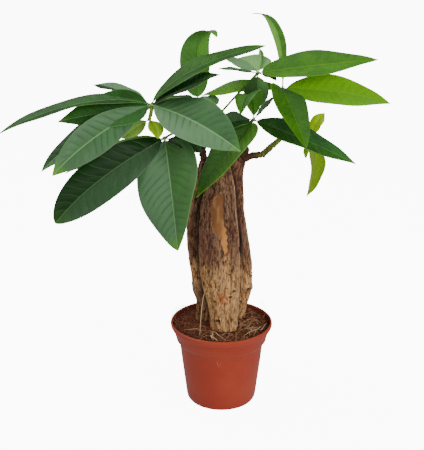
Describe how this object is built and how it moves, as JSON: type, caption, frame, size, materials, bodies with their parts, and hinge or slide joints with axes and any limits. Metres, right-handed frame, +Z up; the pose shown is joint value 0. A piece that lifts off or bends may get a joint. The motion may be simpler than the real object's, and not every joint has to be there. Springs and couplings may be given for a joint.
{
  "type": "potted money tree",
  "caption": "Potted money tree: stout bark-covered stems in a plastic nursery pot, with hand-shaped glossy leaves on thin stalks.",
  "frame": {"origin": "middle of the pot's underside, on the surface that the pot stands on", "axes": "+Z up along the pot's axis; -Y is the side that faces the viewer in the picture; +X is to the viewer's right"},
  "size_m": [0.4087, 0.2765, 0.444],
  "materials": {
    "pot": "satin terracotta-coloured plastic",
    "soil": "loose brown peat and coir",
    "bark": "rough, grooved bark, darker at the top and tan near the soil",
    "twig": "green-brown young bark with leaf scars",
    "leaf_dark": "waxy satin leaf, dark green, paler below",
    "leaf_mid": "waxy satin leaf, mid green, paler below",
    "leaf_bright": "satin leaf, bright green",
    "leaf_young": "soft young leaf, yellow-green"
  },
  "bodies": {
    "root": {"pot": "pot", "soil": "soil", "trunk_left": "bark", "trunk_front": "bark", "trunk_right": "bark", "shoot_left": "twig", "twig_right": "twig", "frond_left_upper": "leaf_dark", "frond_left_lower": "leaf_dark", "frond_left_young": "leaf_young", "frond_centre": "leaf_mid", "frond_right_upper": "leaf_bright", "frond_top": "leaf_bright", "frond_rear_upper": "leaf_bright", "frond_rear_lower": "leaf_mid", "frond_right_young": "leaf_young"}
  },
  "joints": []
}
